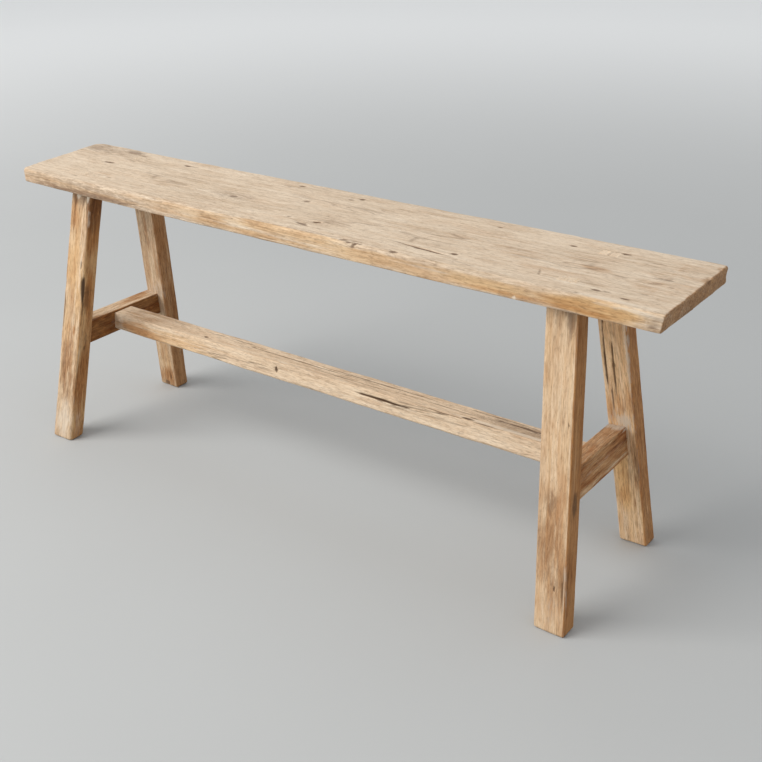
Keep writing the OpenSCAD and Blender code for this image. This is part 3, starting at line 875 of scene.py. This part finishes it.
stretcherLow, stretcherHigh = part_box("stretcher")
stretcherSpec = {
    "seed": 301, "cutFrom": (-6.7, 0.3, 0.25),
    "run": 0.0015,      # how far each end runs into its rail
    "tenons": 0.036,        # both tenons together, which stay hidden
    "steps": (0.0026, 0.0015, 0.0016),
    "arrises": {(-1, 1): arris(0.0015, 0.25, chips=[(0.1, 0.05, 0.5)]),
                (1, 1): arris(0.0025, 0.2),
                (-1, -1): arris(0.008, 0.04, deep=0.006, flat=0.7),
                (1, -1): arris(0.0025)},
    "endRounds": (0.0003, 0.0003), "wave": 0.0007, "ridge": 0.00014, "arrisWear": 0.35,
    "faceTones": {"top": {"grey": 0.12}, "front": {"gold": 0.12}, "back": {"grey": 0.3, "brown": 0.2},
                  "bottom": {"brown": 0.35}},
    "knots": [("top", 0.292, -0.012, 0.007)],
    "marks": {
        ("crack", "front", 0.25): [(135, 7, 100, 4.5, 1, 1.8)],
        ("crack", "front", 0.3): [(-81, 4, 6, 13, 0.95, 1.2)],
        ("crack", "top", 0.3): [
            (-249, -8, 9, 6, 0.8, 1), (287, -14, 22, 5, 0.9, 1), (294, -8, 16, 3, 0.7, 0.6),
            (320, -19, 50, 3, 0.7, 0.6)],
        ("crack", "top", 0.25): [(240, -19.5, 90, 3, 0.8, 0.8)],
        ("crack", "top", 0.4): [
            (-50, 4, 220, 3, 0.7, 0.6), (120, 9, 260, 3, 0.8, 0.6), (50, -6, 180, 2.6, 0.7, 0.5),
            (220, 0, 200, 2.6, 0.7, 0.5), (-200, 11, 200, 2.6, 0.55, 0.5), (380, 6, 140, 2.8, 0.8, 0.6),
            (330, 14, 180, 2.6, 0.6, 0.5)],
        ("grey", "top"): [(380, 0, 160, 30, 0.7)],
        ("wear", "top", 0.6): [(360, -14, 200, 8, 0.8), (-100, -16, 400, 6, 0.6)],
        ("wear", "front"): [(100, 0, 900, 20, 0.35)],
        ("dust", "front"): [(-449, 0, 12, 60, 0.6)],
        ("grey", "front"): [(-444, 0, 16, 60, 0.35)],
        ("brown", "front"): [(-410, -2, 100, 30, 0.75)],
        ("gold", "front"): [(-330, -2, 240, 30, 0.6)],
        ("brown", "top"): [(-400, 0, 120, 50, 0.45)],
    },
}


def placeStretcher(at):     # each end follows the lean of the rail that it meets
    ends = []
    for side, face in (("left", 1.0), ("right", -1.0)):
        centre, across, _, _ = railFrame(side)
        lift = stretcherMiddle.z + at[:, 2] - centre.z
        reach = face * (railShape["thick"] / 2.0 - stretcherSpec["run"])
        ends.append(centre.x + (reach - lift * across.z) / across.x)
    share = at[:, 0] / stretcherSpec["size"][0] + 0.5
    x = ends[0] + (ends[1] - ends[0]) * share
    return np.column_stack((x, stretcherMiddle.y + at[:, 1], stretcherMiddle.z + at[:, 2]))


stretcherMiddle = (stretcherLow + stretcherHigh) / 2.0
stretcherSpec["size"] = (stretcherHigh.x - stretcherLow.x - stretcherSpec["tenons"],
                         stretcherHigh.y - stretcherLow.y, stretcherHigh.z - stretcherLow.z)
stretcherWood = makeWood("stretcherWood", woodLook(
    heart=(0.0, 0.05, -0.04), ringLines=190.0, rings=0.2, contrast=2.6, checkDark=0.5,
    poreDark=0.3, blotches=0.1, smears=0.15, bright=1.04,
    tones=[(0.1, rgba(0.45, 0.31, 0.2)), (0.92, rgba(0.8, 0.66, 0.5)),
           (0.5, rgba(0.68, 0.525, 0.37))]))
finishPiece("stretcher_timber",
            makeTimber("stretcher", stretcherSpec, seatFaces, placeStretcher), stretcherWood,
            "stretcher_wood", "stretcher")

# tenon wedges and pegs, set by geometry nodes
pegSize = {"radius": 0.0040, "length": 0.012, "facets": 9, "proud": 0.0005}
wedgeSize = {"thick": 0.0036, "wide": 0.0176, "deep": 0.014, "proud": 0.0002}
headShape = {
    "peg": (0.3, 0.0, -0.12),       # where the squash starts, and its share at both ends
    "wedge": (-0.5, -0.72, 0.0),
    "knife": 260.0,     # how fine the knife marks are
    "knifeDeep": (0.0007, 0.0007, 0.0005),
    "scales": (0.94, 1.04),
}


def makeHeadTree(name, material, shape):    # sets one small whittled part on every marked point
    tree = bpy.data.node_groups.new(name, "GeometryNodeTree")
    sockets = {}
    tree.interface.new_socket(name="Geometry", in_out="INPUT", socket_type="NodeSocketGeometry")
    for label, kind, value in (("Width", "Float", 0.004), ("Depth", "Float", 0.012),
                               ("Across", "Float", 0.018), ("Facets", "Int", 9),
                               ("Seed", "Int", 4)):
        socket = tree.interface.new_socket(name=label, in_out="INPUT",
                                           socket_type="NodeSocket" + kind)
        socket.default_value = value
        sockets[label] = socket.identifier
    tree.interface.new_socket(name="Geometry", in_out="OUTPUT", socket_type="NodeSocketGeometry")
    given = tree.nodes.new("NodeGroupInput").outputs
    result = tree.nodes.new("NodeGroupOutput")
    if shape == "peg":
        body = addNode(tree, "GeometryNodeMeshCylinder", {
            "Side Segments": 5, "Fill Segments": 3, "Vertices": given["Facets"],
            "Radius": given["Width"], "Depth": given["Depth"]})
    else:
        body = addNode(tree, "GeometryNodeMeshCube", {
            "Vertices X": 4, "Vertices Y": 12, "Vertices Z": 8,
            "Size": joinVector(tree, given["Width"], given["Across"], given["Depth"])})
    where = tree.nodes.new("GeometryNodeInputPosition").outputs[0]
    apart = splitVector(tree, where)
    share = doMath(tree, "DIVIDE", apart[2], given["Depth"])        # -0.5 tip, 0.5 head
    # the head of a peg is rounded off, and a wedge runs to a thin tip
    start, low, high = headShape[shape]
    squash = addNode(tree, "ShaderNodeMapRange", {
        "Value": share, "From Min": start, "From Max": 0.5, "To Min": low, "To Max": high})
    shifts = [doMath(tree, "MULTIPLY", apart[n], squash.outputs["Result"])
              for n in range(2 if shape == "peg" else 1)]
    knife = addNode(tree, "ShaderNodeTexNoise", {
        "Vector": where, "Scale": headShape["knife"], "Detail": 1.0})
    centred = vectorMath(tree, "SUBTRACT", knife.outputs["Color"], (0.5, 0.5, 0.5))
    cut = vectorMath(tree, "MULTIPLY", centred, headShape["knifeDeep"])
    whittled = addNode(tree, "GeometryNodeSetPosition", {
        "Geometry": body.outputs["Mesh"],
        "Offset": vectorMath(tree, "ADD", joinVector(tree, *shifts), cut)})
    store = addNode(tree, "GeometryNodeStoreNamedAttribute", {
        "Name": "grain", "Geometry": whittled.outputs["Geometry"],
        "Value": joinVector(tree, apart[2], apart[0], apart[1])},       # runs along the depth
        data_type="FLOAT_VECTOR", domain="POINT")
    lean = addNode(tree, "GeometryNodeInputNamedAttribute", {"Name": "lean"},
                   data_type="FLOAT_VECTOR")
    small, large = headShape["scales"]
    spread = addNode(tree, "FunctionNodeRandomValue", {2: small, 3: large, "Seed": given["Seed"]},
                     data_type="FLOAT")
    setOn = addNode(tree, "GeometryNodeInstanceOnPoints", {
        "Points": given["Geometry"], "Instance": store.outputs["Geometry"],
        "Rotation": lean.outputs["Attribute"], "Scale": spread.outputs[1]})
    real = addNode(tree, "GeometryNodeRealizeInstances", {"Geometry": setOn.outputs["Instances"]})
    dress = addNode(tree, "GeometryNodeSetMaterial", {
        "Geometry": real.outputs["Geometry"], "Material": material})
    setInputs(result, {"Geometry": dress.outputs["Geometry"]})
    return tree, sockets


def setHeads(name, tree, sockets, values, spots, material, nodes):
    mesh = bpy.data.meshes.new(name + "_spots")
    mesh.from_pydata([tuple(place) for place, turn in spots], [], [])
    lean = mesh.attributes.new("lean", "FLOAT_VECTOR", "POINT")
    lean.data.foreach_set("vector", [angle for _, turn in spots for angle in turn.to_euler()])
    holder = bpy.data.objects.new(name + "_spots", mesh)
    bpy.context.scene.collection.objects.link(holder)
    modifier = holder.modifiers.new("heads", "NODES")
    modifier.node_group = tree
    for label, value in values.items():
        modifier[sockets[label]] = value
    ready = holder.evaluated_get(bpy.context.evaluated_depsgraph_get())
    plain = bpy.data.meshes.new_from_object(ready)
    plain.name = name
    bpy.data.objects.remove(holder)
    if not plain.materials:
        plain.materials.append(material)
    addPiece(name, plain, nodes)


def turnTo(across, deep, up):
    return Matrix((across, deep, up)).transposed()


pegWood = makeWood("pegWood", woodLook(ringLines=400.0))
wedgeWood = makeWood("wedgeWood", woodLook(ringLines=400.0, tones=seatTones))
wedgeSpots = []
wedgeNodes = []
for spot in legSpecs:
    foot, _, _, up = legFrame(spot)
    top = foot + up * ((seatHigh.z + wedgeSize["proud"] - foot.z) / up.z)
    sunk = Vector((0.0, 0.0, wedgeSize["deep"] / 2.0))
    wedgeSpots.append((top - sunk, Matrix.Identity(3)))     # upright, so that the heads are level
    wedgeNodes.append("tenon_wedge_" + spot)
wedgeTree, wedgeSockets = makeHeadTree("tenonWedges", wedgeWood, "wedge")
setHeads("tenon_wedges", wedgeTree, wedgeSockets,
         {"Width": wedgeSize["thick"], "Depth": wedgeSize["deep"], "Across": wedgeSize["wide"],
          "Seed": 3}, wedgeSpots, wedgeWood, wedgeNodes)


def pegHead(node, outward):     # the outer end of a peg that runs along outward
    low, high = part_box(node)
    span = high - low
    main = max(range(3), key=lambda n: abs(outward[n]))
    lean = math.sqrt(max(0.0, 1.0 - outward[main] ** 2))
    reach = (span[main] - 2.0 * pegSize["radius"] * lean) / abs(outward[main])
    return (low + high) / 2.0 + outward * (reach / 2.0)


pegSpots = []
pegNodes = []
for side in ("left", "right"):
    _, across, rise, _ = railFrame(side)
    runs = [("rail_peg_front_" + side, -across), ("rail_peg_back_" + side, -across),
            ("stretcher_peg_" + side, -rise)]
    for node, outward in runs:
        head = pegHead(node, outward) + outward * pegSize["proud"]
        first = Vector((0.0, 1.0, 0.0))
        turn = turnTo(first, outward.cross(first), outward)
        pegSpots.append((head - outward * (pegSize["length"] / 2.0), turn))
        pegNodes.append(node)
pegTree, pegSockets = makeHeadTree("drawPegs", pegWood, "peg")
setHeads("draw_pegs", pegTree, pegSockets,
         {"Width": pegSize["radius"], "Depth": pegSize["length"], "Facets": pegSize["facets"],
          "Seed": 5}, pegSpots, pegWood, pegNodes)

studio = {
    "floorColour": rgba(0.46, 0.47, 0.47),
    "farColour": rgba(0.88, 0.89, 0.89),
    "fade": (1.2, 5.5),     # the floor pales between these distances
    "cloud": 0.93,      # share of the floor's colour in its faint clouds
    "floorDrop": 0.0003,
    "floorReach": 40.0,
    "floorSpecular": 0.15,
    "world": 0.72,
    "worldColour": rgba(0.97, 0.985, 1.0),
    "keyPlace": (-2.2, -2.8, 3.0),
    "keySize": 3.2,
    "keyPower": 195.0,
    "keyColour": (1.0, 0.975, 0.94),
    "keyAim": (0.0, 0.0, 0.25),
    "cameraPlace": (1.0857, -1.3539, 1.0035),
    "yaw": -35.76,
    "pitch": -25.15,
    "roll": -0.38,
    "lens": 55.44,
    "sensor": 36.0,
    "clipEnd": 60.0,
}


def makeFloor():
    material = bpy.data.materials.new("paleFloor")
    material.use_nodes = True
    tree = material.node_tree
    place = addNode(tree, "ShaderNodeTexCoord").outputs["Object"]
    cloud = addNoise(tree, place, (1.2, 1.2, 1.2), 3.0)
    darker = tuple(v * studio["cloud"] for v in studio["floorColour"][:3]) + (1.0,)
    near = mixColours(tree, cloud, darker, studio["floorColour"])
    far = spreadValue(tree, vectorMath(tree, "LENGTH", place), *studio["fade"])
    setInputs(tree.nodes["Principled BSDF"], {
        "Specular IOR Level": studio["floorSpecular"],
        "Base Color": mixColours(tree, far, near, studio["farColour"]),
        "Roughness": spreadValue(tree, cloud, 0.3, 0.7, 0.65, 0.8)})
    mesh = bpy.data.meshes.new("floor")
    reach = studio["floorReach"]
    mesh.from_pydata([(x * reach, y * reach, -studio["floorDrop"])
                      for x, y in ((-1, -1), (1, -1), (1, 1), (-1, 1))], [], [(0, 1, 2, 3)])
    mesh.materials.append(material)
    floor = bpy.data.objects.new("floor", mesh)
    bpy.context.scene.collection.objects.link(floor)


def makeLight():
    world = bpy.data.worlds.new("studio")
    bpy.context.scene.world = world
    world.use_nodes = True
    sky = world.node_tree.nodes["Background"]
    setInputs(sky, {"Color": studio["worldColour"], "Strength": studio["world"]})
    lamp = bpy.data.lights.new("key", "AREA")
    lamp.size = studio["keySize"]
    lamp.energy = studio["keyPower"]
    lamp.color = studio["keyColour"]
    key = bpy.data.objects.new("key", lamp)
    key.location = studio["keyPlace"]
    aim = Vector(studio["keyAim"]) - key.location
    key.rotation_euler = aim.to_track_quat("-Z", "Y").to_euler()
    bpy.context.scene.collection.objects.link(key)


def makeCamera():
    yaw, pitch, roll = (math.radians(studio[key]) for key in ("yaw", "pitch", "roll"))
    forward = Vector((math.sin(yaw) * math.cos(pitch), math.cos(yaw) * math.cos(pitch),
                      math.sin(pitch)))
    level = Vector((math.cos(yaw), -math.sin(yaw), 0.0))
    upright = level.cross(forward)
    right = level * math.cos(roll) + upright * math.sin(roll)
    up = upright * math.cos(roll) - level * math.sin(roll)
    lens = bpy.data.cameras.new("camera")
    lens.lens = studio["lens"]
    lens.sensor_width = studio["sensor"]
    lens.clip_end = studio["clipEnd"]
    camera = bpy.data.objects.new("camera", lens)
    pose = turnTo(right, up, -forward).to_4x4()
    pose.translation = studio["cameraPlace"]
    camera.matrix_world = pose
    bpy.context.scene.collection.objects.link(camera)
    bpy.context.scene.camera = camera


makeFloor()
makeLight()
makeCamera()
bpy.context.scene.view_settings.view_transform = "Standard"
print("floor, light and camera set")
